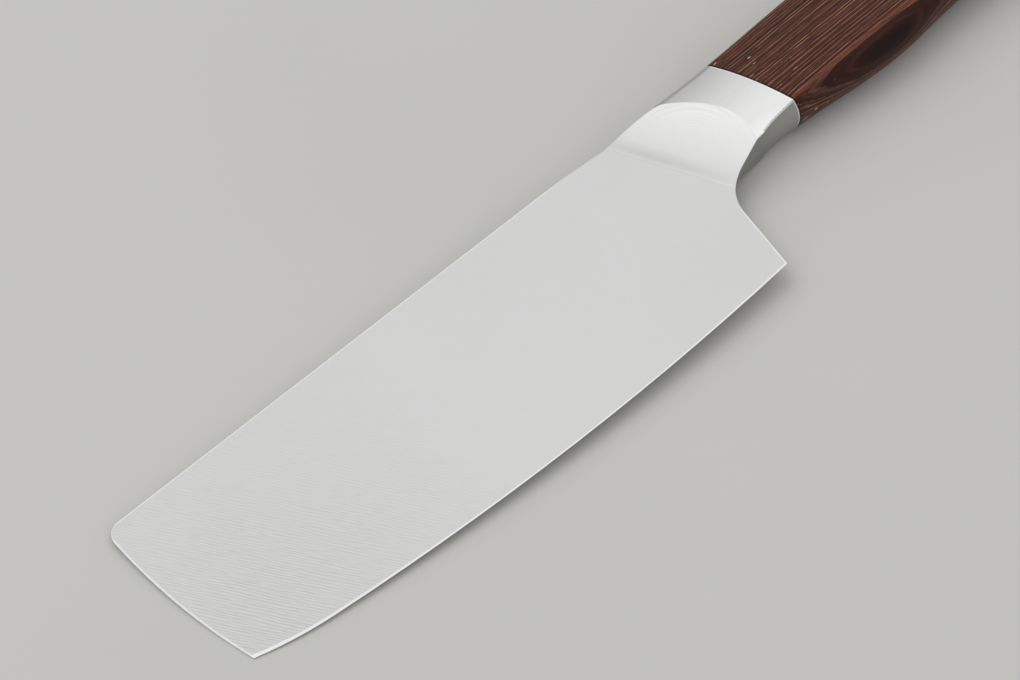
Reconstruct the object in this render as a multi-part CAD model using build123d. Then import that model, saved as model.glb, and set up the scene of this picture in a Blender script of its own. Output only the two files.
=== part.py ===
from build123d import *
import os
from math import atan, cos, degrees, radians, sin, sqrt, tan

os.makedirs("parts", exist_ok=True)

# The knife is drawn in its own frame, in millimetres. +X runs from the front of the blade to the
# butt of the handle, the spine line is at Y = 0 and the cutting edge at negative Y, and Z = 0 is
# the middle plane of the blade. A depth is a distance below the spine line. At the end the knife
# is laid on its side as it rests on a table, with the origin under the middle of its box.

# Blade outline
blade_length = 168.5
heel_depth = 55.2
belly_depth = 57.3
belly_from_heel = 56.5
rise_from_front = 24.5
rise_depth = 52.9
front_corner_depth = 48.7
front_corner_setback = 3.7
foremost_depth = 14.7
spine_corner_setback = 0.7
spine_corner_radius = 4.0
heel_lean_angle = 9.8

# Blade section
spine_thickness = 2.0
shoulder_thickness = 0.2
bevel_angle = 17.0
spine_rounding = 0.2

# Neck between the heel and the bolster
neck_depth = 26.2
neck_length = 19.0
neck_slope_angle = 15.0
neck_radius = 11.5
neck_blend_radius = 15.0
spine_dip = 0.9
spine_dip_length = 20.0

# Seam between the blade and the bolster, and the tongue that is let into the bolster
seam_before_heel = 9.3
seam_lean_angle = 26.1
tongue_width = 12.0
tongue_length = 9.0
tongue_thickness = 1.1
tongue_corner_radius = 2.0
braze_gap = 0.05

# Bolster
bolster_length = 33.2
joint_lean_angle = 18.9
ramp_angle = 21.0
blend_radius = 12.0

# Grip form, which the bolster and the wooden handle share
grip_length = 116.5
grip_thickness = 14.9
spine_side_drop = 1.4
belly_side_drop = 1.95
spine_bulge = 2.0
belly_bulge = 4.1
palm_swell = 2.8
spine_rise = 1.7
fattening = 1.8
spine_edge_radius = 2.4
belly_edge_radius = 3.6
butt_rounding = 2.4

# Tang
tang_width = 9.0
tang_thickness = 4.0
tang_seat = 12.0
tang_reach = 78.0
tang_point_radius = 3.0
notch_radius = 1.6
notch_spacing = 18.0
notch_pairs = 3

# Resin bed
resin_gap = 1.2
glue_line = 0.2

# Reach of the cutting shapes past what they cut
overrun = 12.0

# Numbers of straight steps that the grip is shaped in: in the steel, in the wood, round the butt
steel_steps = 10
wood_steps = 30
rim_steps = 4

# Shares of the grip sizes at stations from the neck to the butt: place along the grip, spine rise,
# palm swell, fattening, belly bulge, rounding of the belly corner and drop of the belly side
grip_station_shares = [
    (0.000, 0.05, 0.00, 0.00, 0.04, 0.14, 1.00),
    (0.032, 0.12, 0.04, 0.06, 0.27, 0.12, 0.84),
    (0.105, 0.28, 0.16, 0.24, 0.50, 0.14, 0.56),
    (0.188, 0.55, 0.50, 0.40, 0.74, 0.20, 0.45),
    (0.292, 0.82, 0.92, 0.56, 0.94, 0.38, 0.42),
    (0.407, 0.98, 1.00, 0.76, 1.00, 0.62, 0.41),
    (0.563, 1.00, 0.40, 0.98, 1.00, 0.88, 0.41),
    (0.730, 0.80, 0.16, 1.00, 1.00, 1.00, 0.41),
    (0.875, 0.42, 0.50, 0.92, 1.00, 1.00, 0.41),
    (1.000, -0.10, 0.98, 0.72, 1.00, 1.00, 0.41),
]

# The flare of the blank under the neck, as a share of the neck radius, and the place of the
# crown's highest line, as a share of the way from the spine corner to the belly corner
neck_flare_share = 0.65
crown_place_share = 0.5

# Part of the grip that is stepped finely, a little longer than the steel
fine_share = 0.13

# Sizes that follow from the ones above
spine_half = spine_thickness / 2
grip_half = grip_thickness / 2
taper_slope = (spine_half - shoulder_thickness / 2) / belly_depth
seam_slope = tan(radians(seam_lean_angle))
joint_slope = tan(radians(joint_lean_angle))
heel_slope = tan(radians(heel_lean_angle))
neck_slope = tan(radians(neck_slope_angle))
neck_drop = heel_depth - neck_depth - neck_length * neck_slope
heel_rise = neck_drop / (1 - heel_slope * neck_slope)
level_from_front = blade_length + neck_length
grip_start = level_from_front + neck_blend_radius * tan(radians(neck_slope_angle / 2))
overall_length = grip_start + grip_length
middle_depth = (spine_dip + neck_depth) / 2
seam_from_front = blade_length - seam_before_heel
joint_from_front = seam_from_front + bolster_length
spine_corner_depth = spine_dip + spine_bulge
crown_depth = spine_corner_depth + (neck_depth - spine_corner_depth) * crown_place_share


def seam_plane(shift):
    """Upright plane of the welded seam, moved toward the handle by a shift"""
    normal = Vector(1, seam_slope, 0).normalized()
    return Plane(origin=Vector(seam_from_front, 0, 0) + normal * shift, z_dir=normal)


def joint_plane(shift):
    """Upright plane at the back of the bolster, moved toward the butt by a shift"""
    normal = Vector(1, joint_slope, 0).normalized()
    return Plane(origin=Vector(joint_from_front, 0, 0) + normal * shift, z_dir=normal)


def neck_void():
    """Open space behind the heel and under the bolster, where the knuckles clear the board"""
    below = heel_depth + overrun
    low_front = (blade_length - overrun * heel_slope, -below)
    corner = (blade_length + heel_rise * heel_slope, heel_rise - heel_depth)
    level = (level_from_front, -neck_depth)
    far = overall_length + overrun
    outline = Polyline(low_front, corner, level, (far, -neck_depth), (far, -below), close=True)
    face = make_face(outline)
    for place, radius in ((corner, neck_radius), (level, neck_blend_radius)):
        bend = face.vertices().sort_by_distance((*place, 0))[0]
        face = fillet(bend, radius)
    return extrude(face, grip_thickness, both=True)


def edge_curves():
    """Cutting edge, heel to front: the long belly arc, then the tighter rise to the front corner"""
    heel = (blade_length, -heel_depth)
    belly = (blade_length - belly_from_heel, -belly_depth)
    rise = (rise_from_front, -rise_depth)
    front_corner = (front_corner_setback, -front_corner_depth)
    long_arc = ThreePointArc(heel, belly, rise)
    rise_arc = TangentArc(rise, front_corner, tangent=long_arc % 1)
    return long_arc, rise_arc


def blade_plan():
    """Flat outline of the blade, with the spine dipping slightly as it nears the bolster"""
    long_arc, rise_arc = edge_curves()
    spine_front = (spine_corner_setback, 0)
    front_end = ThreePointArc(rise_arc @ 1, (0, -foremost_depth), spine_front)
    spine = Line(spine_front, (seam_from_front - spine_dip_length, 0))
    dip = TangentArc(spine @ 1, (seam_from_front, -spine_dip), tangent=spine % 1)
    back = grip_start
    root = Polyline(dip @ 1, (back, -spine_dip), (back, -heel_depth), long_arc @ 0)
    face = make_face([long_arc, rise_arc, front_end, spine, dip, root])
    corner = face.vertices().sort_by_distance((spine_corner_setback, 0, 0))[0]
    return fillet(corner, spine_corner_radius)


def bevel_form():
    """Block whose lower side leans in from the cutting edge at the bevel angle, above and below"""
    long_arc, rise_arc = edge_curves()
    behind_heel = long_arc @ 0 - (long_arc % 0) * (neck_length + overrun)
    before_front = rise_arc @ 1 + (rise_arc % 1) * overrun
    rest = Polyline(
        before_front, (before_front.X, overrun), (behind_heel.X, overrun), behind_heel, long_arc @ 0
    )
    face = make_face([long_arc, rise_arc, Line(rise_arc @ 1, before_front), rest])
    upper = extrude(face, spine_thickness, taper=90 - bevel_angle)
    return upper + mirror(upper, about=Plane.XY)


def taper_form():
    """Long wedge of the full flat grind, thickest above the spine and thinning to the edge"""
    top = spine_half + overrun * taper_slope
    point_depth = spine_half / taper_slope
    section = make_face(Polyline((overrun, top), (-point_depth, 0), (overrun, -top), close=True))
    return extrude(Plane.YZ * section, overall_length)


def tongue(gap):
    """Root tongue of the blade, grown by a gap where it serves as the slot in the bolster"""
    length = tongue_length + gap
    width = tongue_width + 2 * gap
    reach = length + tongue_width
    back = seam_from_front + middle_depth * seam_slope + length
    flat = Pos(back - reach / 2, -middle_depth) * RectangleRounded(reach, width, tongue_corner_radius)
    return extrude(flat, tongue_thickness / 2 + gap, both=True)


def blade():
    """Ground blade blank: flat tapered faces, edge bevels, rounded spine and the root tongue"""
    body = extrude(blade_plan(), grip_half, both=True) & taper_form()
    body = fillet(body.edges().filter_by(is_spine_edge), spine_rounding)
    body = body - neck_void()
    body = body & bevel_form()
    body = split(body, bisect_by=seam_plane(0), keep=Keep.BOTTOM)
    stub = split(tongue(0), bisect_by=seam_plane(0), keep=Keep.TOP)
    return body + stub


def is_spine_edge(edge):
    """Long edges of the blade that lie along the spine, from the front corner to the dip"""
    middle = edge @ 0.5
    return edge.length > 2 * spine_thickness and middle.Y > -spine_dip


def crown_arc(spine_corner, belly_corner, half, belly_drop):
    """Crowned side of a section, highest midway and falling toward the spine and the belly"""
    crown = spine_corner + (belly_corner - spine_corner) * crown_place_share
    spine_end = (-spine_corner, half - spine_side_drop)
    belly_end = (-belly_corner, half - belly_drop)
    return ThreePointArc(spine_end, (-crown, half), belly_end)


def neck_section():
    """Section of the blank over the neck: the grip's crown carried on down under the neck"""
    spine_depth = spine_dip - spine_rise * share_at(0, 1)
    belly_corner = neck_depth - belly_bulge * share_at(0, 4)
    crown = crown_arc(spine_depth + spine_bulge, belly_corner, grip_half, belly_side_drop)
    low_depth = neck_depth + neck_radius * neck_flare_share
    centre = crown.arc_center
    low_half = centre.Y + sqrt(crown.radius**2 - (low_depth + centre.X) ** 2)
    top = ThreePointArc(crown @ 0, crown @ 0.5, (-low_depth, low_half))
    side = Line((-low_depth, low_half), (-low_depth, -low_half))
    under = mirror(top, about=Plane.XZ)
    spine = ThreePointArc(under @ 0, (-spine_depth, 0), top @ 0)
    face = make_face([top, side, under, spine])
    corners = face.vertices().sort_by(Axis.X)[-2:]
    return fillet(corners, spine_edge_radius)


def share_slope(index, column):
    """Slope of one column of the station table at one of its rows"""
    before = grip_station_shares[max(index - 1, 0)]
    after = grip_station_shares[min(index + 1, len(grip_station_shares) - 1)]
    return (after[column] - before[column]) / (after[0] - before[0])


def share_at(place, column):
    """One column of the station table at any place, on a smooth curve through its rows"""
    rows = grip_station_shares
    index = max(i for i in range(len(rows) - 1) if rows[i][0] <= place)
    span = rows[index + 1][0] - rows[index][0]
    step = (place - rows[index][0]) / span
    ease = step**2 * (3 - 2 * step)
    lead = step * (1 - step) ** 2 * span * share_slope(index, column)
    trail = step**2 * (step - 1) * span * share_slope(index + 1, column)
    return rows[index][column] * (1 - ease) + rows[index + 1][column] * ease + lead + trail


def grip_section(place, inset):
    """Section of the grip: crowned sides, bulging spine and belly, rounded corners"""
    rise_share, swell_share, fat_share, bulge_share, round_share, drop_share = [
        share_at(place, column) for column in range(1, 7)
    ]
    spine_depth = spine_dip - spine_rise * rise_share + inset
    low_depth = neck_depth + palm_swell * swell_share - inset
    half = grip_half + fattening * fat_share / 2 - inset
    belly_corner = low_depth - belly_bulge * bulge_share
    belly_drop = belly_side_drop * drop_share
    top = crown_arc(spine_depth + spine_bulge, belly_corner, half, belly_drop)
    under = mirror(top, about=Plane.XZ)
    spine = ThreePointArc(under @ 0, (-spine_depth, 0), top @ 0)
    belly = ThreePointArc(under @ 1, (-low_depth, 0), top @ 1)
    face = make_face([top, belly, under, spine])
    by_depth = face.vertices().sort_by(Axis.X)
    face = fillet(by_depth[:2], belly_edge_radius * round_share)
    by_depth = face.vertices().sort_by(Axis.X)
    face = fillet(by_depth[-2:], spine_edge_radius)
    return Plane.YZ.offset(grip_start + grip_length * place) * face


def grip_form():
    """Whole grip from the neck to the butt, shaped in short straight steps with a rounded rim"""
    last_share = 1 - butt_rounding / grip_length
    sections = []
    for step in range(steel_steps):
        sections.append(grip_section(fine_share * step / steel_steps, 0))
    for step in range(wood_steps):
        place = fine_share + (last_share - fine_share) * step / wood_steps
        sections.append(grip_section(place, 0))
    for step in range(rim_steps + 1):
        turn = radians(90 * step / rim_steps)
        place = last_share + (1 - last_share) * sin(turn)
        sections.append(grip_section(place, butt_rounding * (1 - cos(turn))))
    return loft(sections, ruled=True)


def ramp_cutter():
    """Space above the ground ramp that leads from the blade's face up to the crowned side"""
    start = seam_from_front
    top = grip_half + overrun
    angle = radians(ramp_angle)
    blend_end = (start + blend_radius * sin(angle), spine_half + blend_radius * (1 - cos(angle)))
    flat = Line((start - overrun, spine_half), (start, spine_half))
    blend = TangentArc((start, spine_half), blend_end, tangent=(1, 0))
    ramp_top = (blend_end[0] + (top - blend_end[1]) / tan(angle), top)
    rest = Polyline(blend_end, ramp_top, (start - overrun, top), (start - overrun, spine_half))
    profile = Plane.XZ * make_face([flat, blend, rest])
    along_seam = (seam_slope, -1, -taper_slope)
    return extrude(profile, heel_depth + overrun, dir=along_seam, both=True)


def bolster(grip):
    """Cast bolster, ground to a ramp on both sides and slotted for the tongue and the tang"""
    front = seam_from_front - overrun
    neck = extrude(Plane.YZ.offset(front) * neck_section(), grip_start - front)
    body = neck - neck_void() + split(grip, bisect_by=joint_plane(0), keep=Keep.BOTTOM)
    body = split(body, bisect_by=seam_plane(0), keep=Keep.TOP)
    upper = ramp_cutter()
    body = body - upper - mirror(upper, about=Plane.XY)
    return body - tongue(braze_gap) - tang_bar(braze_gap)


def tang_front():
    """Front end of the tang, inside the bolster"""
    return joint_from_front + middle_depth * joint_slope - tang_seat


def tang_bar(gap):
    """Plain flat bar of the tang with its rounded far end, grown by a gap for its slot or mortise"""
    length = tang_seat + tang_reach
    half_width = tang_width / 2 + gap
    front = tang_front() - gap
    back = tang_front() + length + gap
    outline = Polyline(
        (front, half_width), (back, half_width), (back, -half_width), (front, -half_width), close=True
    )
    face = make_face(outline)
    face = fillet(face.vertices().sort_by(Axis.X)[-2:], tang_point_radius + gap)
    return Pos(0, -middle_depth) * extrude(face, tang_thickness / 2 + gap, both=True)


def tang():
    """Tang bar with notches along both edges, where the resin keys in"""
    body = tang_bar(0)
    first = joint_from_front + middle_depth * joint_slope + notch_spacing
    for index in range(notch_pairs):
        for side in (-1, 1):
            place = Pos(first + index * notch_spacing, side * tang_width / 2 - middle_depth)
            body = body - place * Cylinder(notch_radius, tang_thickness + overrun)
    return body


def handle_block(grip):
    """Wooden handle: the rest of the grip, with a blind mortise for the tang"""
    body = split(grip, bisect_by=joint_plane(glue_line), keep=Keep.TOP)
    return body - tang_bar(resin_gap)


def resin_bed(grip):
    """Cured resin: it fills the mortise round the tang and shows as a hairline at the joint"""
    film = split(grip, bisect_by=joint_plane(0), keep=Keep.TOP)
    film = split(film, bisect_by=joint_plane(glue_line), keep=Keep.BOTTOM)
    bed = split(tang_bar(resin_gap), bisect_by=joint_plane(0), keep=Keep.TOP)
    return film + bed - tang()


def laid_down(shapes):
    """Lay the knife on its side: the blade's front and the bolster's crown touch the table"""
    angle = radians(ramp_angle)
    rise = grip_half + crown_depth * taper_slope - spine_half
    blend_rise = blend_radius * (1 - cos(angle))
    ramp_run = blend_radius * sin(angle) + (rise - blend_rise) / tan(angle)
    touch = seam_from_front + crown_depth * seam_slope + ramp_run
    roll = degrees(atan(taper_slope))
    pitch = degrees(atan(rise / touch))
    turned = {name: Rot(0, -pitch, 0) * Rot(roll, 0, 0) * shape for name, shape in shapes.items()}
    box = Compound(list(turned.values())).bounding_box()
    centre = box.center()
    shift = Pos(-centre.X, -centre.Y, -box.min.Z)
    return {name: shift * shape for name, shape in turned.items()}


grip = grip_form()
pieces = {
    "blade": blade(),
    "bolster": bolster(grip),
    "tang": tang(),
    "handle_block": handle_block(grip),
    "resin_bed": resin_bed(grip),
}

for name, shape in laid_down(pieces).items():
    export_step(shape, f"parts/{name}.step")
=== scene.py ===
from math import cos, radians, sin

import bpy
from mathutils import Matrix, Vector

# Nakiri knife lying on its side. +X runs to the butt, +Y to the spine, +Z up off the table, in
# metres. All five pieces keep the shapes they were built with, and this script gives them their
# finishes, in the order in which the knife is put together. Two numbers in brackets say where a
# change starts and where it is complete.
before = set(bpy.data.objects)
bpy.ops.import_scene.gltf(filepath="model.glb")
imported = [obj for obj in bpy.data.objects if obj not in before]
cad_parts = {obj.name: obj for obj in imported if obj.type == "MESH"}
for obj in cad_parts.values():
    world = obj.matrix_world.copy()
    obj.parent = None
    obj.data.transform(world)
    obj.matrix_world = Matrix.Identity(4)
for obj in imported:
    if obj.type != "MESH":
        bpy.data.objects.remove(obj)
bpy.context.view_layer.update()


# Blade
# One blank of stainless steel, ground flat on both sides to a thin edge and finished on a belt that
# ran across it, leaning toward the handle. Its rim and edge bevel get painted highlights, and the
# lower part of the rim's wall gets painted shade. The knife lies rolled and pitched a little, so
# its own directions are turned from the table's.

knife_roll = radians(0.90)
knife_pitch = radians(2.057)
knife_turn = Matrix.Rotation(-knife_pitch, 3, "Y") @ Matrix.Rotation(knife_roll, 3, "X")
spine_front = Vector((-0.15299, 0.02823, 0.00101))
to_butt = Vector((1, 0, 0))
to_spine = Vector((0, 1, 0))
to_top = Vector((0, 0, 1))

front_centre = Vector((0.15704, -0.01481, 0))
heel_corner = Vector((0.1685, -0.0552, 0))
heel_lean = radians(9.8)
neck_above_heel = (0.021, 0.016)
grind_slope = 0.01571
face_height = 0.0010
rim_height = 0.00055
rim_softness = 0.00012
rim_line = 0.00032
line_softness = 0.0001
rim_lift = 2.2
bevel_tilt = (0.985, 0.96)
rim_tilt = (0.93, 0.80)
wall_tilt = (0.6, 0.4)

belt_lean = radians(33)
belt_turn = radians(90) - belt_lean
belt_pitch = 0.00074
belt_patch = 0.0016
belt_patch_stretch = 0.30
even_share = 0.75
even_reach = (0.35, 0.65)
mark_length = 0.0030
mark_width = 0.00020
mark_detail = 0.5
mark_roughness = 0.6
mark_reach = (0.44, 0.62)
mark_depth = 0.00002
mark_lift = 0.25
mark_lift_fade = (0.0, 0.5)
streak_length = 0.018
streak_width = 0.0016
marks_toward_butt = (0.015, 0.085)
marks_at_butt = 0.05
marks_toward_edge = (-0.008, -0.042)
marks_at_spine = 0.45
noise_reach = (0.3, 0.7)
haze_size = 0.05
haze_strength = 0.08

blade_colour = (0.79, 0.79, 0.785, 1)
blade_dark = (0.63, 0.63, 0.625, 1)
painted_rim_highlight = (1.0, 1.0, 0.995, 1)
rim_shade = (0.42, 0.42, 0.415, 1)
bevel_highlight_share = 0.65
blade_roughness = (0.34, 0.41)
streak_roughness = 0.02
bevel_polish = 0.12


def new_finish(name):
    """Empty material for one finish, with its shader in place"""
    finish = bpy.data.materials.new(name)
    finish.use_nodes = True
    finish.node_tree.nodes.clear()
    shader = add(finish, "ShaderNodeBsdfPrincipled")
    output = add(finish, "ShaderNodeOutputMaterial")
    join(finish, shader, "BSDF", output, "Surface")
    return finish, shader


def add(finish, kind, inputs=None, **settings):
    """Add one node with its settings, and with plain values on its inputs"""
    node = finish.node_tree.nodes.new(kind)
    for key, value in settings.items():
        setattr(node, key, value)
    for key, value in (inputs or {}).items():
        node.inputs[key].default_value = value
    return node


def join(finish, source, output, target, socket):
    """Connect a named output of one node to an input of another"""
    finish.node_tree.links.new(source.outputs[output], target.inputs[socket])


def feed_value(finish, source, target, socket):
    """Connect the number that a node gives to an input of another"""
    finish.node_tree.links.new(value_of(source), target.inputs[socket])


def feed_colour(finish, source, target, socket):
    """Connect the colour that a node gives to an input of another"""
    finish.node_tree.links.new(colour_of(source), target.inputs[socket])


def value_of(source):
    """Number output of a node, or the output that a pair of node and name gives"""
    if isinstance(source, tuple):
        return source[0].outputs[source[1]]
    return [s for s in source.outputs if s.type == "VALUE" and s.enabled][0]


def colour_of(node):
    """Colour output of a node, whatever its kind"""
    return [s for s in node.outputs if s.type == "RGBA" and s.enabled][0]


def spread(finish, source, low, high, to_low=0.0, to_high=1.0):
    """Map a range of one value onto another range, clamped at both ends"""
    ends = {"From Min": low, "From Max": high, "To Min": to_low, "To Max": to_high}
    node = add(finish, "ShaderNodeMapRange", ends)
    feed_value(finish, source, node, "Value")
    return node


def past(finish, source, limit, strength=1.0):
    """Nothing before a limit and full strength past it, with a thin soft change between"""
    low, high = limit - line_softness, limit + line_softness
    return spread(finish, source, low, high, 0.0, strength)


def blend(finish, factor, first, second):
    """Mix two colours, each plain or from a node, by a factor node's result"""
    node = add(finish, "ShaderNodeMix", data_type="RGBA")
    feed_value(finish, factor, node, "Factor")
    for key, value in (("A", first), ("B", second)):
        socket = [s for s in node.inputs if s.name == key and s.type == "RGBA"][0]
        if isinstance(value, tuple):
            socket.default_value = value
        else:
            finish.node_tree.links.new(colour_of(value), socket)
    return node


def reckon(finish, operation, first, second=None, third=None):
    """Sum, product or other reckoning with plain numbers and with nodes"""
    node = add(finish, "ShaderNodeMath", operation=operation)
    for index, value in enumerate((first, second, third)):
        if isinstance(value, (int, float)):
            node.inputs[index].default_value = value
        elif value is not None:
            feed_value(finish, value, node, index)
    return node


def along(finish, direction, start=Vector((0, 0, 0))):
    """Distance from a point of the knife, measured along one of the knife's own directions"""
    place = add(finish, "ShaderNodeTexCoord")
    turned = knife_turn @ direction.normalized()
    measure = add(finish, "ShaderNodeVectorMath", operation="DOT_PRODUCT")
    measure.inputs[1].default_value = turned
    join(finish, place, "Object", measure, 0)
    return reckon(finish, "SUBTRACT", measure, turned.dot(spine_front + knife_turn @ start))


def away(finish, centre):
    """Distance from an upright line through one point of the knife, with its two parts"""
    out = along(finish, to_butt, centre)
    up = along(finish, to_spine, centre)
    square = reckon(finish, "MULTIPLY", out, out)
    return reckon(finish, "SQRT", reckon(finish, "MULTIPLY_ADD", up, up, square)), out, up


def facing(finish, axis):
    """How far the surface faces along one axis of the table, from -1 to 1"""
    surface = add(finish, "ShaderNodeNewGeometry")
    parts = add(finish, "ShaderNodeSeparateXYZ")
    join(finish, surface, "Normal", parts, "Vector")
    return parts, axis


def laid(finish, texture, rotation, scale):
    """Lay a texture over a piece, turned and then stretched"""
    place = add(finish, "ShaderNodeTexCoord")
    turn = add(finish, "ShaderNodeMapping", {"Rotation": rotation})
    stretch = add(finish, "ShaderNodeMapping", {"Scale": scale})
    join(finish, place, "Object", turn, "Vector")
    join(finish, turn, "Vector", stretch, "Vector")
    join(finish, stretch, "Vector", texture, "Vector")
    return texture


def marks(finish, angle, length, width, detail=2.0):
    """Fine marks in the steel: noise that is stretched along one direction of the surface"""
    settings = {"Scale": 1.0, "Detail": detail, "Roughness": mark_roughness}
    noise = add(finish, "ShaderNodeTexNoise", settings)
    return laid(finish, noise, (0, 0, angle), (1 / length, 1 / width, 1 / width))


def even_marks(finish, angle, pitch, patch):
    """Marks of one even pitch in the steel, which fade in and out patch by patch"""
    settings = {"Scale": 1 / patch, "Frequency": patch / pitch, "Anisotropy": 1.0}
    bands = add(finish, "ShaderNodeTexGabor", settings)
    across = [s for s in bands.inputs if s.identifier == "Orientation 2D"][0]
    across.default_value = radians(90)
    return laid(finish, bands, (0, 0, angle), (belt_patch_stretch, 1, 1))


def patches(finish, size, detail=2.0):
    """Soft uneven patches over a surface"""
    place = add(finish, "ShaderNodeTexCoord")
    noise = add(finish, "ShaderNodeTexNoise", {"Scale": 1 / size, "Detail": detail})
    join(finish, place, "Object", noise, "Vector")
    return noise


def eased(finish, rim, below):
    """Lift the shading of a narrow rim, as if its corners had been eased with a stone"""
    height = reckon(finish, "MULTIPLY", along(finish, to_top), -rim_lift)
    lift = add(finish, "ShaderNodeBump", {"Distance": 1.0})
    feed_value(finish, rim, lift, "Strength")
    feed_value(finish, height, lift, "Height")
    join(finish, below, "Normal", lift, "Normal")
    return lift


def blade_steel():
    """Satin steel with belt marks across the blade, painted highlight on the rim and edge bevel,
    and painted shade low on the rim's wall
    """
    finish, shader = new_finish("blade_belt_satin")
    shader.inputs["Metallic"].default_value = 1.0
    fine = marks(finish, belt_turn, mark_length, mark_width, mark_detail)
    broad = marks(finish, belt_turn, streak_length, streak_width)
    even = even_marks(finish, belt_turn, belt_pitch, belt_patch)

    back = spread(finish, along(finish, to_butt), *marks_toward_butt, 1.0, marks_at_butt)
    down = spread(finish, along(finish, to_spine), *marks_toward_edge, marks_at_spine, 1.0)
    shown = reckon(finish, "MULTIPLY", back, down)
    lined = spread(finish, (even, "Value"), *even_reach, 0.0, even_share)
    loose = spread(finish, (fine, "Fac"), *mark_reach)
    marked = reckon(finish, "MULTIPLY_ADD", loose, 1 - even_share, lined)
    satin = blend(finish, reckon(finish, "MULTIPLY", marked, shown), blade_colour, blade_dark)
    cloud = patches(finish, haze_size)
    haze = spread(finish, (cloud, "Fac"), *noise_reach, 0.0, haze_strength)
    clouded = blend(finish, haze, satin, blade_dark)

    # Painted highlight: the edge bevel, and thin lines along the spine, the front and the heel, are
    # painted brighter
    upright = reckon(finish, "ABSOLUTE", facing(finish, "Z"))
    bevel = spread(finish, upright, *bevel_tilt, 0.0, bevel_highlight_share)
    spine_line = past(finish, along(finish, to_spine), -rim_line)
    from_centre = away(finish, front_centre)[0]
    front_line = past(finish, reckon(finish, "SUBTRACT", from_centre, front_centre.x), -rim_line)
    across_heel = Vector((cos(heel_lean), -sin(heel_lean), 0))
    heel_line = past(finish, along(finish, across_heel, heel_corner), -rim_line)
    below_neck = spread(finish, along(finish, to_spine, heel_corner), *neck_above_heel)
    short_line = reckon(finish, "MULTIPLY", heel_line, below_neck)
    long_lines = reckon(finish, "MAXIMUM", spine_line, front_line)
    lines = reckon(finish, "MAXIMUM", long_lines, short_line)
    bright = blend(finish, reckon(finish, "MAXIMUM", bevel, lines), clouded, painted_rim_highlight)

    # Painted shade: the lower part of the rim's wall is painted darker
    under_face = along(finish, Vector((0, -grind_slope, 1)), Vector((0, 0, face_height)))
    shade_from = -rim_height + rim_softness
    shade_full = -rim_height - rim_softness
    low_wall = spread(finish, under_face, shade_from, shade_full)
    walled = reckon(finish, "MULTIPLY", low_wall, spread(finish, upright, *wall_tilt))
    whole = blend(finish, walled, bright, rim_shade)
    feed_colour(finish, whole, shader, "Base Color")

    rough = spread(finish, (fine, "Fac"), *noise_reach, *blade_roughness)
    streaked = reckon(finish, "MULTIPLY_ADD", (broad, "Fac"), streak_roughness, rough)
    polished = reckon(finish, "MULTIPLY_ADD", bevel, -bevel_polish, streaked)
    feed_value(finish, polished, shader, "Roughness")

    rim = spread(finish, upright, *rim_tilt)
    bump = add(finish, "ShaderNodeBump", {"Distance": mark_depth})
    join(finish, fine, "Fac", bump, "Height")
    lift_left = spread(finish, rim, *mark_lift_fade, mark_lift, 0.0)
    feed_value(finish, lift_left, bump, "Strength")
    join(finish, eased(finish, rim, bump), "Normal", shader, "Normal")
    return finish


def dress(node, finish):
    """Give a built piece its finish in every slot, or in a new slot where it has none"""
    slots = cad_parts[node].data.materials
    for index in range(len(slots)):
        slots[index] = finish
    if not slots:
        slots.append(finish)


dress("blade", blade_steel())


# Bolster
# One steel casting, ground and polished with the blade in place. The ramp on each side is ground
# last, so it is the brightest part, with faint rings of the belt; its colour also grows lighter
# toward its top as painted light, with a band of painted shade and a painted highlight line behind
# the seam.
# The crown has painted light toward the belly and painted shade toward the spine. The narrow sides
# are duller, and their colour is darkened further as painted shade, darkest near the seam. The
# belly corner, the neck ridge and the back rim get painted highlights as fine lines, and the
# ridge's shading normals are also lifted as if it were eased.

seam_place = Vector((0.1592, 0, 0))
seam_lean = radians(26.1)
across_seam = Vector((cos(seam_lean), sin(seam_lean), 0))
joint_place = Vector((0.1924, 0, 0))
joint_lean = radians(18.9)
across_joint = Vector((cos(joint_lean), sin(joint_lean), 0))

ramp_tilt = (-0.10, -0.22)
ramp_foot = (0.0060, 0.0045)
ramp_rise = (0.003, 0.016)
ring_centre = Vector((0.1680, -0.0205, 0))
ring_width = 0.00030
ring_patch_angle = 1.5
ring_roughness = 0.65
ring_reach = (0.42, 0.66)
ring_rise = (0.006, 0.014)
ring_strength = (0.05, 0.60)
grain_length = 0.008
grain_width = 0.00022
grain_reach = (0.35, 0.65)
grain_depth = 0.00002
grain_lift = 0.2
turn_to_spine = (0.02, 0.26)
turn_to_belly = (-0.02, -0.15)
belly_light = 0.8
corner_tilt = (-0.22, -0.30)
corner_end = (-0.72, -0.60)
side_tilt = (0.60, 0.88)
side_run = (0.006, 0.028)

seam_band_place = 0.0021
seam_band_width = 0.0024
seam_band_strength = 0.62
seam_middle = Vector((0, -0.0105, 0))
seam_band_fade = (0.0300, 0.002)
seam_line_place = 0.0009
seam_line_width = 0.00030
seam_line_strength = 0.22
neck_run = (0.1764, 0.18684)
neck_ridge = (0.00081, 0.00537)
grip_run = (0.1885, 0.2001)
grip_ridge_rise = 0.00110
ridge_line = 0.00042
under_ridge = (-0.45, -0.60)
back_rim = (-0.00032, -0.00022)
back_rim_highlight = 0.85

ramp_low = (0.77, 0.77, 0.765, 1)
ramp_high = (0.97, 0.97, 0.965, 1)
ring_shade = (0.80, 0.80, 0.795, 1)
crown_colour = (0.85, 0.85, 0.845, 1)
crown_dark = (0.80, 0.80, 0.795, 1)
crown_light = (0.915, 0.915, 0.91, 1)
crown_shade = (0.69, 0.69, 0.685, 1)
side_dull_and_shaded = (0.46, 0.46, 0.445, 1)
side_duller_and_shaded = (0.36, 0.36, 0.345, 1)
seam_shade = (0.55, 0.55, 0.545, 1)
painted_highlight = (1.0, 1.0, 0.995, 1)
bolster_roughness = (0.30, 0.38)
side_dullness = 0.10


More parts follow.
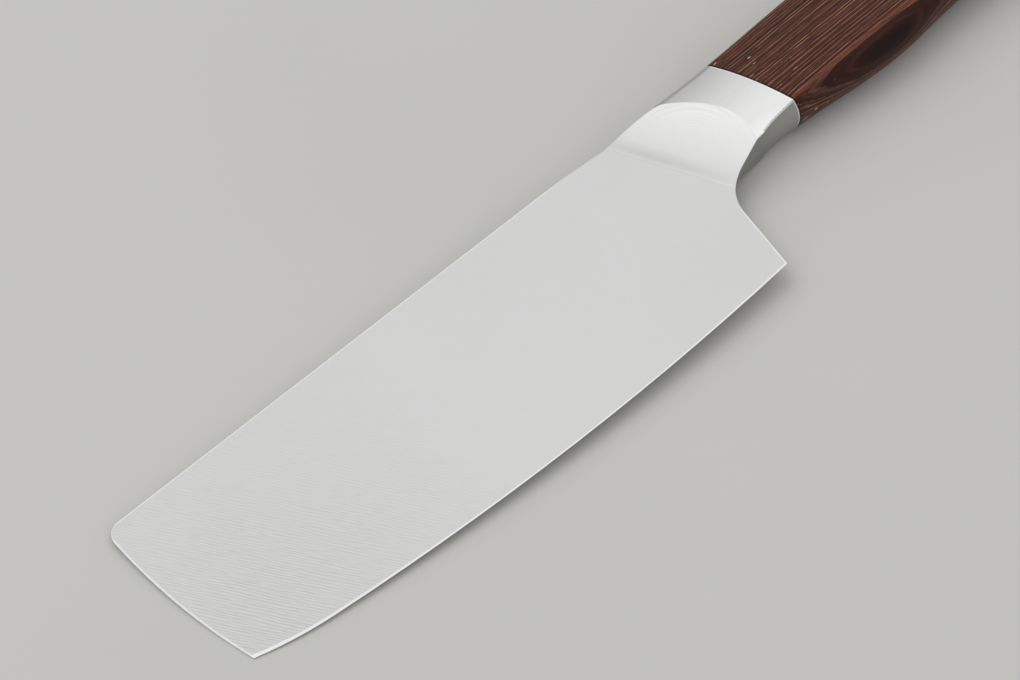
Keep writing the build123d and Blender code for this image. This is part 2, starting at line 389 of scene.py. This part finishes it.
def rings(finish):
    """Curved belt marks: fine noise along circles about one point of the blade"""
    radius, out, up = away(finish, ring_centre)
    angle = reckon(finish, "ARCTAN2", up, out)
    spot = add(finish, "ShaderNodeCombineXYZ")
    feed_value(finish, reckon(finish, "DIVIDE", radius, ring_width), spot, "X")
    feed_value(finish, reckon(finish, "MULTIPLY", angle, 1 / ring_patch_angle), spot, "Y")
    settings = {"Scale": 1.0, "Detail": 2.0, "Roughness": ring_roughness}
    noise = add(finish, "ShaderNodeTexNoise", settings)
    join(finish, spot, "Vector", noise, "Vector")
    return noise


def apart(finish, source, place):
    """Distance from a place, on either side of it"""
    return reckon(finish, "ABSOLUTE", reckon(finish, "SUBTRACT", source, place))


def bolster_steel():
    """Satin cast steel: bright ringed ramp, lengthwise grain on the crown, dull narrow sides, with
    painted light and shade, and painted highlight lines
    """
    finish, shader = new_finish("bolster_satin")
    shader.inputs["Metallic"].default_value = 1.0
    grain = marks(finish, 0.0, grain_length, grain_width)
    behind_seam = along(finish, across_seam, seam_place)
    behind_joint = along(finish, across_joint, joint_place)

    # Painted light: the ramp's colour grows lighter from its foot to its top, standing in for its
    # curve
    ground = blend(finish, spread(finish, behind_seam, *ramp_rise), ramp_low, ramp_high)
    belt = spread(finish, (rings(finish), "Fac"), *ring_reach)
    near_top = spread(finish, behind_seam, *ring_rise, *ring_strength)
    ringed = blend(finish, reckon(finish, "MULTIPLY", belt, near_top), ground, ring_shade)

    grained = spread(finish, (grain, "Fac"), *grain_reach)
    crown = blend(finish, grained, crown_dark, crown_colour)
    # Painted light where the crown turns toward the belly, painted shade where it turns toward the
    # spine
    to_belly = spread(finish, facing(finish, "Y"), *turn_to_belly, 0.0, belly_light)
    lighter = blend(finish, to_belly, crown, crown_light)
    away_from_light = spread(finish, facing(finish, "Y"), *turn_to_spine)
    shaded_crown = blend(finish, away_from_light, lighter, crown_shade)
    # Painted highlight on the rounding of the belly corner
    corner_start = spread(finish, facing(finish, "Y"), *corner_tilt)
    corner_stop = spread(finish, facing(finish, "Y"), *corner_end)
    corner = reckon(finish, "MULTIPLY", corner_start, corner_stop)
    cornered = blend(finish, corner, shaded_crown, painted_highlight)

    foot = spread(finish, behind_seam, *ramp_foot)
    ramp = reckon(finish, "MAXIMUM", spread(finish, facing(finish, "X"), *ramp_tilt), foot)
    body = blend(finish, ramp, cornered, ringed)
    # The sides are duller, and their colour also carries painted shade, darkest near the seam
    side = spread(finish, reckon(finish, "ABSOLUTE", facing(finish, "Y")), *side_tilt)
    sides = blend(finish, spread(finish, behind_seam, *side_run), side_duller_and_shaded, side_dull_and_shaded)
    sided = blend(finish, side, body, sides)

    # Painted shade: a soft dark band just behind the seam
    off_band = apart(finish, behind_seam, seam_band_place)
    band = spread(finish, off_band, seam_band_width, 0.0, 0.0, seam_band_strength)
    from_middle = reckon(finish, "ABSOLUTE", along(finish, to_spine, seam_middle))
    faded = spread(finish, from_middle, *seam_band_fade)
    banded = blend(finish, reckon(finish, "MULTIPLY", band, faded), sided, seam_shade)
    # Painted highlight: a thin light line behind the seam
    off_line = apart(finish, behind_seam, seam_line_place)
    line = spread(finish, off_line, seam_line_width, 0.0, 0.0, seam_line_strength)
    seamed = blend(finish, line, banded, painted_highlight)

    # Painted highlight along the ridge of the neck and grip on the belly side
    neck = spread(finish, along(finish, to_butt), *neck_run, *neck_ridge)
    grip = spread(finish, along(finish, to_butt), *grip_run, 0.0, grip_ridge_rise)
    ridge = reckon(finish, "ADD", neck, grip)
    over_ridge = reckon(finish, "SUBTRACT", along(finish, to_top), ridge)
    near_ridge = past(finish, over_ridge, -ridge_line)
    on_side = spread(finish, facing(finish, "Y"), *under_ridge)
    below_ridge = reckon(finish, "MULTIPLY", near_ridge, on_side)
    ridged = blend(finish, below_ridge, seamed, painted_highlight)
    # Painted highlight along the back rim at the joint
    rim = spread(finish, behind_joint, *back_rim, 0.0, back_rim_highlight)
    whole = blend(finish, rim, ridged, painted_highlight)
    feed_colour(finish, whole, shader, "Base Color")

    rough = spread(finish, (grain, "Fac"), *noise_reach, *bolster_roughness)
    dulled = reckon(finish, "MULTIPLY_ADD", side, side_dullness, rough)
    feed_value(finish, dulled, shader, "Roughness")
    bump = add(finish, "ShaderNodeBump", {"Strength": grain_lift, "Distance": grain_depth})
    join(finish, grain, "Fac", bump, "Height")
    join(finish, eased(finish, below_ridge, bump), "Normal", shader, "Normal")
    return finish


dress("bolster", bolster_steel())


# Tang
# A flat steel bar with notched edges, let into the back of the bolster. It keeps the scale of the
# mill, because the wood hides it.

mill_mark_length = 0.010
mill_mark_width = 0.0004
mill_mark_reach = (0.35, 0.65)
tang_colour = (0.42, 0.42, 0.42, 1)
tang_dark = (0.30, 0.30, 0.30, 1)
tang_roughness = (0.45, 0.6)


def mill_steel():
    """Dull unfinished bar steel"""
    finish, shader = new_finish("tang_mill_steel")
    shader.inputs["Metallic"].default_value = 1.0
    rolled = marks(finish, 0.0, mill_mark_length, mill_mark_width)
    shown = spread(finish, (rolled, "Fac"), *mill_mark_reach)
    feed_colour(finish, blend(finish, shown, tang_dark, tang_colour), shader, "Base Color")
    rough = spread(finish, (rolled, "Fac"), *noise_reach, *tang_roughness)
    feed_value(finish, rough, shader, "Roughness")
    return finish


dress("tang", mill_steel())


# Resin bed
# Dark resin poured into the mortise round the tang. It shows only as a hairline between the steel
# and the wood, sanded flush with both.

resin_cloud_size = 0.002
resin_cloud_reach = (0.35, 0.65)
resin_colour = (0.012, 0.008, 0.007, 1)
resin_light = (0.025, 0.017, 0.014, 1)
resin_roughness = (0.3, 0.45)


def cured_resin():
    """Dark resin, slightly cloudy"""
    finish, shader = new_finish("cured_resin")
    cloud = patches(finish, resin_cloud_size)
    milk = spread(finish, (cloud, "Fac"), *resin_cloud_reach)
    feed_colour(finish, blend(finish, milk, resin_colour, resin_light), shader, "Base Color")
    rough = spread(finish, (cloud, "Fac"), *noise_reach, *resin_roughness)
    feed_value(finish, rough, shader, "Roughness")
    return finish


dress("resin_bed", cured_resin())


# Handle block
# One block of wenge. Its growth layers lean, so they show as fine pale lines along the two faces,
# and as a dark lens where the rounding below the face runs flat along a layer. Sanded and oiled.

layer_lean = radians(33.5)
across_layers = Vector((0, -cos(layer_lean), sin(layer_lean)))
heart_place = Vector((0, -0.0273, 0.0052))
sway_patch = (0.035, 0.010, 0.010)
sway_width = 0.0006
sway_roughness = 0.4
wander_patch = (0.008, 0.0013, 0.0013)
wander_width = 0.0003
wander_roughness = 0.5

fibre_patch = (0.0060, 0.00022, 0.00022)
fibre_detail = 3.0
fibre_roughness = 0.65
fibre_shade = (0.50, 0.34)
fibre_shade_strength = 0.55
fibre_depth = 0.00006
fibre_lift = 0.4

bands_per_metre = 520.0
band_roughness = 0.5
brown_reach = (0.35, 0.65)
blue_reach = (0.42, 0.32)
red_depth = 0.00175
red_width = (0.00060, 0.00015)
red_strength = 0.85
red_fray = (0.38, 0.56)
red_least = 0.30
upper_side = (0.45, 0.75)

line_gap = 0.00080
line_width = 0.00014
fine_gap = 0.00034
fine_width = 0.00008
fine_share = 0.5
line_room = (0.3, 0.7)
line_strength = (0.25, 1.0)
line_breaks = (0.36, 0.56)
line_least = 0.25
heart_calm = (-0.00150, -0.00100)
heart_calm_share = 0.90
heart_depth = 0.00032
heart_strength = 0.92
heart_tear = 0.00022

pore_patch = (0.0026, 0.00045, 0.00045)
pore_roughness = 0.5
pore_reach = (0.795, 0.82)
fleck_run = (0.012, 0.006)
joint_shadow = (0.0007, 0.0004)
joint_shadow_strength = 0.85

wood_dark = (0.037, 0.0105, 0.0062, 1)
wood_brown = (0.068, 0.0200, 0.0130, 1)
wood_blue = (0.0150, 0.0098, 0.0120, 1)
wood_line = (0.420, 0.190, 0.128, 1)
wood_red = (0.200, 0.058, 0.030, 1)
wood_heart = (0.0150, 0.0058, 0.0044, 1)
pale_pore_fleck = (0.66, 0.58, 0.52, 1)
wood_roughness = (0.38, 0.55)
wood_gloss = 0.16


def wood_noise(finish, patch, detail, roughness):
    """Noise with its own patch length along, across and through the wood"""
    settings = {"Scale": 1.0, "Detail": detail, "Roughness": roughness}
    noise = add(finish, "ShaderNodeTexNoise", settings)
    return laid(finish, noise, (0, knife_pitch, 0), tuple(1 / length for length in patch))


def growth_layer(finish):
    """Distance from the heart across the growth layers, which sway and wander along the grain"""
    sway = wood_noise(finish, sway_patch, 1.0, sway_roughness)
    wander = wood_noise(finish, wander_patch, 1.0, wander_roughness)
    slow = spread(finish, (sway, "Fac"), 0.0, 1.0, -0.5, 0.5)
    quick = spread(finish, (wander, "Fac"), 0.0, 1.0, -0.5, 0.5)
    straight = along(finish, across_layers, heart_place)
    swayed = reckon(finish, "MULTIPLY_ADD", slow, sway_width, straight)
    return reckon(finish, "MULTIPLY_ADD", quick, wander_width, swayed)


def hairlines(finish, layer, gap, width):
    """Thin lines, one in each layer, each at its own place in the layer and of its own strength"""
    count = reckon(finish, "DIVIDE", layer, gap)
    chance = add(finish, "ShaderNodeTexWhiteNoise", noise_dimensions="1D")
    feed_value(finish, reckon(finish, "FLOOR", count), chance, "W")
    split = add(finish, "ShaderNodeSeparateColor")
    join(finish, chance, "Color", split, "Color")
    centre = spread(finish, (split, "Red"), 0.0, 1.0, *line_room)
    off_centre = apart(finish, reckon(finish, "FRACT", count), centre)
    line = spread(finish, off_centre, width / gap, 0.0)
    strength = spread(finish, (split, "Green"), 0.0, 1.0, *line_strength)
    return reckon(finish, "MULTIPLY", line, strength)


def oiled_wenge():
    """Dark brown wood with pale hairlines, blue-black bands, a red streak and a dark heart"""
    finish, shader = new_finish("oiled_wenge")
    shader.inputs["Specular IOR Level"].default_value = wood_gloss
    layer = growth_layer(finish)
    fibres = wood_noise(finish, fibre_patch, fibre_detail, fibre_roughness)
    near_heart = spread(finish, layer, *heart_calm)
    off_heart = reckon(finish, "SUBTRACT", 1.0, near_heart)

    settings = {"Scale": 1.0, "Detail": 1.0, "Roughness": band_roughness}
    bands = add(finish, "ShaderNodeTexNoise", settings, noise_dimensions="1D")
    feed_value(finish, reckon(finish, "MULTIPLY", layer, bands_per_metre), bands, "W")
    brownish = spread(finish, (bands, "Fac"), *brown_reach)
    brown = reckon(finish, "MULTIPLY", brownish, off_heart)
    ground = blend(finish, brown, wood_dark, wood_brown)
    bluish = spread(finish, (bands, "Fac"), *blue_reach)
    blue = reckon(finish, "MULTIPLY", bluish, off_heart)
    banded = blend(finish, blue, ground, wood_blue)

    off_red = apart(finish, layer, -red_depth)
    red_band = spread(finish, off_red, *red_width, 0.0, red_strength)
    upper = spread(finish, facing(finish, "Z"), *upper_side)
    frayed = spread(finish, (fibres, "Fac"), *red_fray, red_least, 1.0)
    red_above = reckon(finish, "MULTIPLY", red_band, upper)
    streaked = blend(finish, reckon(finish, "MULTIPLY", red_above, frayed), banded, wood_red)

    coarse = hairlines(finish, layer, line_gap, line_width)
    fine = hairlines(finish, layer, fine_gap, fine_width)
    both = reckon(finish, "MULTIPLY_ADD", fine, fine_share, coarse)
    broken = spread(finish, (fibres, "Fac"), *line_breaks, line_least, 1.0)
    calmed = reckon(finish, "MULTIPLY_ADD", near_heart, -heart_calm_share, 1.0)
    drawn = reckon(finish, "MULTIPLY", reckon(finish, "MULTIPLY", both, broken), calmed)
    lined = blend(finish, drawn, streaked, wood_line)

    torn = spread(finish, (fibres, "Fac"), *noise_reach, -heart_tear, heart_tear)
    heart = past(finish, reckon(finish, "ADD", layer, torn), -heart_depth, heart_strength)
    hearted = blend(finish, heart, lined, wood_heart)
    dark_fibre = spread(finish, (fibres, "Fac"), *fibre_shade, 0.0, fibre_shade_strength)
    fibred = blend(finish, dark_fibre, hearted, wood_heart)

    behind_joint = along(finish, across_joint, joint_place)
    # Pale flecks in open pores, near the steel only
    pores = wood_noise(finish, pore_patch, 0.0, pore_roughness)
    near_steel = spread(finish, behind_joint, *fleck_run)
    open_pores = spread(finish, (pores, "Fac"), *pore_reach)
    flecked = blend(finish, reckon(finish, "MULTIPLY", open_pores, near_steel), fibred, pale_pore_fleck)
    shadow = spread(finish, behind_joint, *joint_shadow, 0.0, joint_shadow_strength)
    feed_colour(finish, blend(finish, shadow, flecked, wood_heart), shader, "Base Color")

    rough = spread(finish, (fibres, "Fac"), *noise_reach, *wood_roughness)
    feed_value(finish, rough, shader, "Roughness")
    bump = add(finish, "ShaderNodeBump", {"Strength": fibre_lift, "Distance": fibre_depth})
    join(finish, fibres, "Fac", bump, "Height")
    join(finish, bump, "Normal", shader, "Normal")
    return finish


dress("handle_block", oiled_wenge())


# Table
# A plain pale tabletop. It is there for the shadow and is no part of the knife.

table_size = 6.0
mottle_size = 0.2
mottle_detail = 3.0
mottle_reach = (0.35, 0.65)
table_colour = (0.615, 0.61, 0.59, 1)
table_shade = (0.595, 0.59, 0.57, 1)
table_roughness = 0.8
table_gloss = 0.2


def pale_table():
    """Matt pale surface with a very faint mottle"""
    finish, shader = new_finish("pale_table")
    mottle = patches(finish, mottle_size, mottle_detail)
    shown = spread(finish, (mottle, "Fac"), *mottle_reach)
    feed_colour(finish, blend(finish, shown, table_shade, table_colour), shader, "Base Color")
    shader.inputs["Roughness"].default_value = table_roughness
    shader.inputs["Specular IOR Level"].default_value = table_gloss
    return finish


half = table_size / 2
table_corners = [(-half, -half, 0), (half, -half, 0), (half, half, 0), (-half, half, 0)]
table_mesh = bpy.data.meshes.new("table_top")
table_mesh.from_pydata(table_corners, [], [(0, 1, 2, 3)])
table_mesh.materials.append(pale_table())
table = bpy.data.objects.new("table_top", table_mesh)
bpy.context.scene.collection.objects.link(table)


# Camera
# It stands in front of the blade on its edge side and looks down along the knife to the handle.

image_width = 1020
focal_pixels = 4500
sensor = 36.0
look_down = radians(53.98)
look_turn = radians(-43.10)
aim = Vector((-0.047763, 0.002927, 0.004394))
distance = 1.06943
nearest = 0.01
farthest = 20

camera_data = bpy.data.cameras.new("view")
camera_data.sensor_width = sensor
camera_data.lens = focal_pixels / image_width * sensor
camera_data.clip_start = nearest
camera_data.clip_end = farthest
camera = bpy.data.objects.new("view", camera_data)
bpy.context.scene.collection.objects.link(camera)
forward_x = -sin(look_turn) * cos(look_down)
forward_y = cos(look_turn) * cos(look_down)
forward = Vector((forward_x, forward_y, -sin(look_down)))
right = Vector((cos(look_turn), sin(look_turn), 0))
upward = right.cross(forward)
camera_turn = Matrix((right, upward, -forward)).transposed().to_4x4()
camera.matrix_world = Matrix.Translation(aim - forward * distance) @ camera_turn
bpy.context.scene.camera = camera


# Light
# A bright soft ceiling that dims toward the walls, and one broad lamp above the spine side.

ceiling_strength = 0.97
wall_strength = 0.26
lamp_place = Vector((-0.25, 0.55, 1.1))
lamp_size = 0.9
lamp_power = 3.2

world = bpy.data.worlds.new("studio")
world.use_nodes = True
bpy.context.scene.world = world
world.node_tree.nodes.clear()
direction = add(world, "ShaderNodeTexCoord")
split_up = add(world, "ShaderNodeSeparateXYZ")
join(world, direction, "Generated", split_up, "Vector")
brightness = spread(world, (split_up, "Z"), 0.0, 1.0, wall_strength, ceiling_strength)
soft_light = add(world, "ShaderNodeBackground", {"Color": (1.0, 1.0, 1.0, 1)})
join(world, brightness, "Result", soft_light, "Strength")
sky_out = add(world, "ShaderNodeOutputWorld")
join(world, soft_light, "Background", sky_out, "Surface")

lamp_data = bpy.data.lights.new("ceiling_lamp", "AREA")
lamp_data.shape = "SQUARE"
lamp_data.size = lamp_size
lamp_data.energy = lamp_power
lamp = bpy.data.objects.new("ceiling_lamp", lamp_data)
bpy.context.scene.collection.objects.link(lamp)
lamp.visible_glossy = False
lamp.location = lamp_place
lamp.rotation_euler = (-lamp_place).to_track_quat("-Z", "Y").to_euler()

bpy.context.scene.view_settings.view_transform = "Standard"
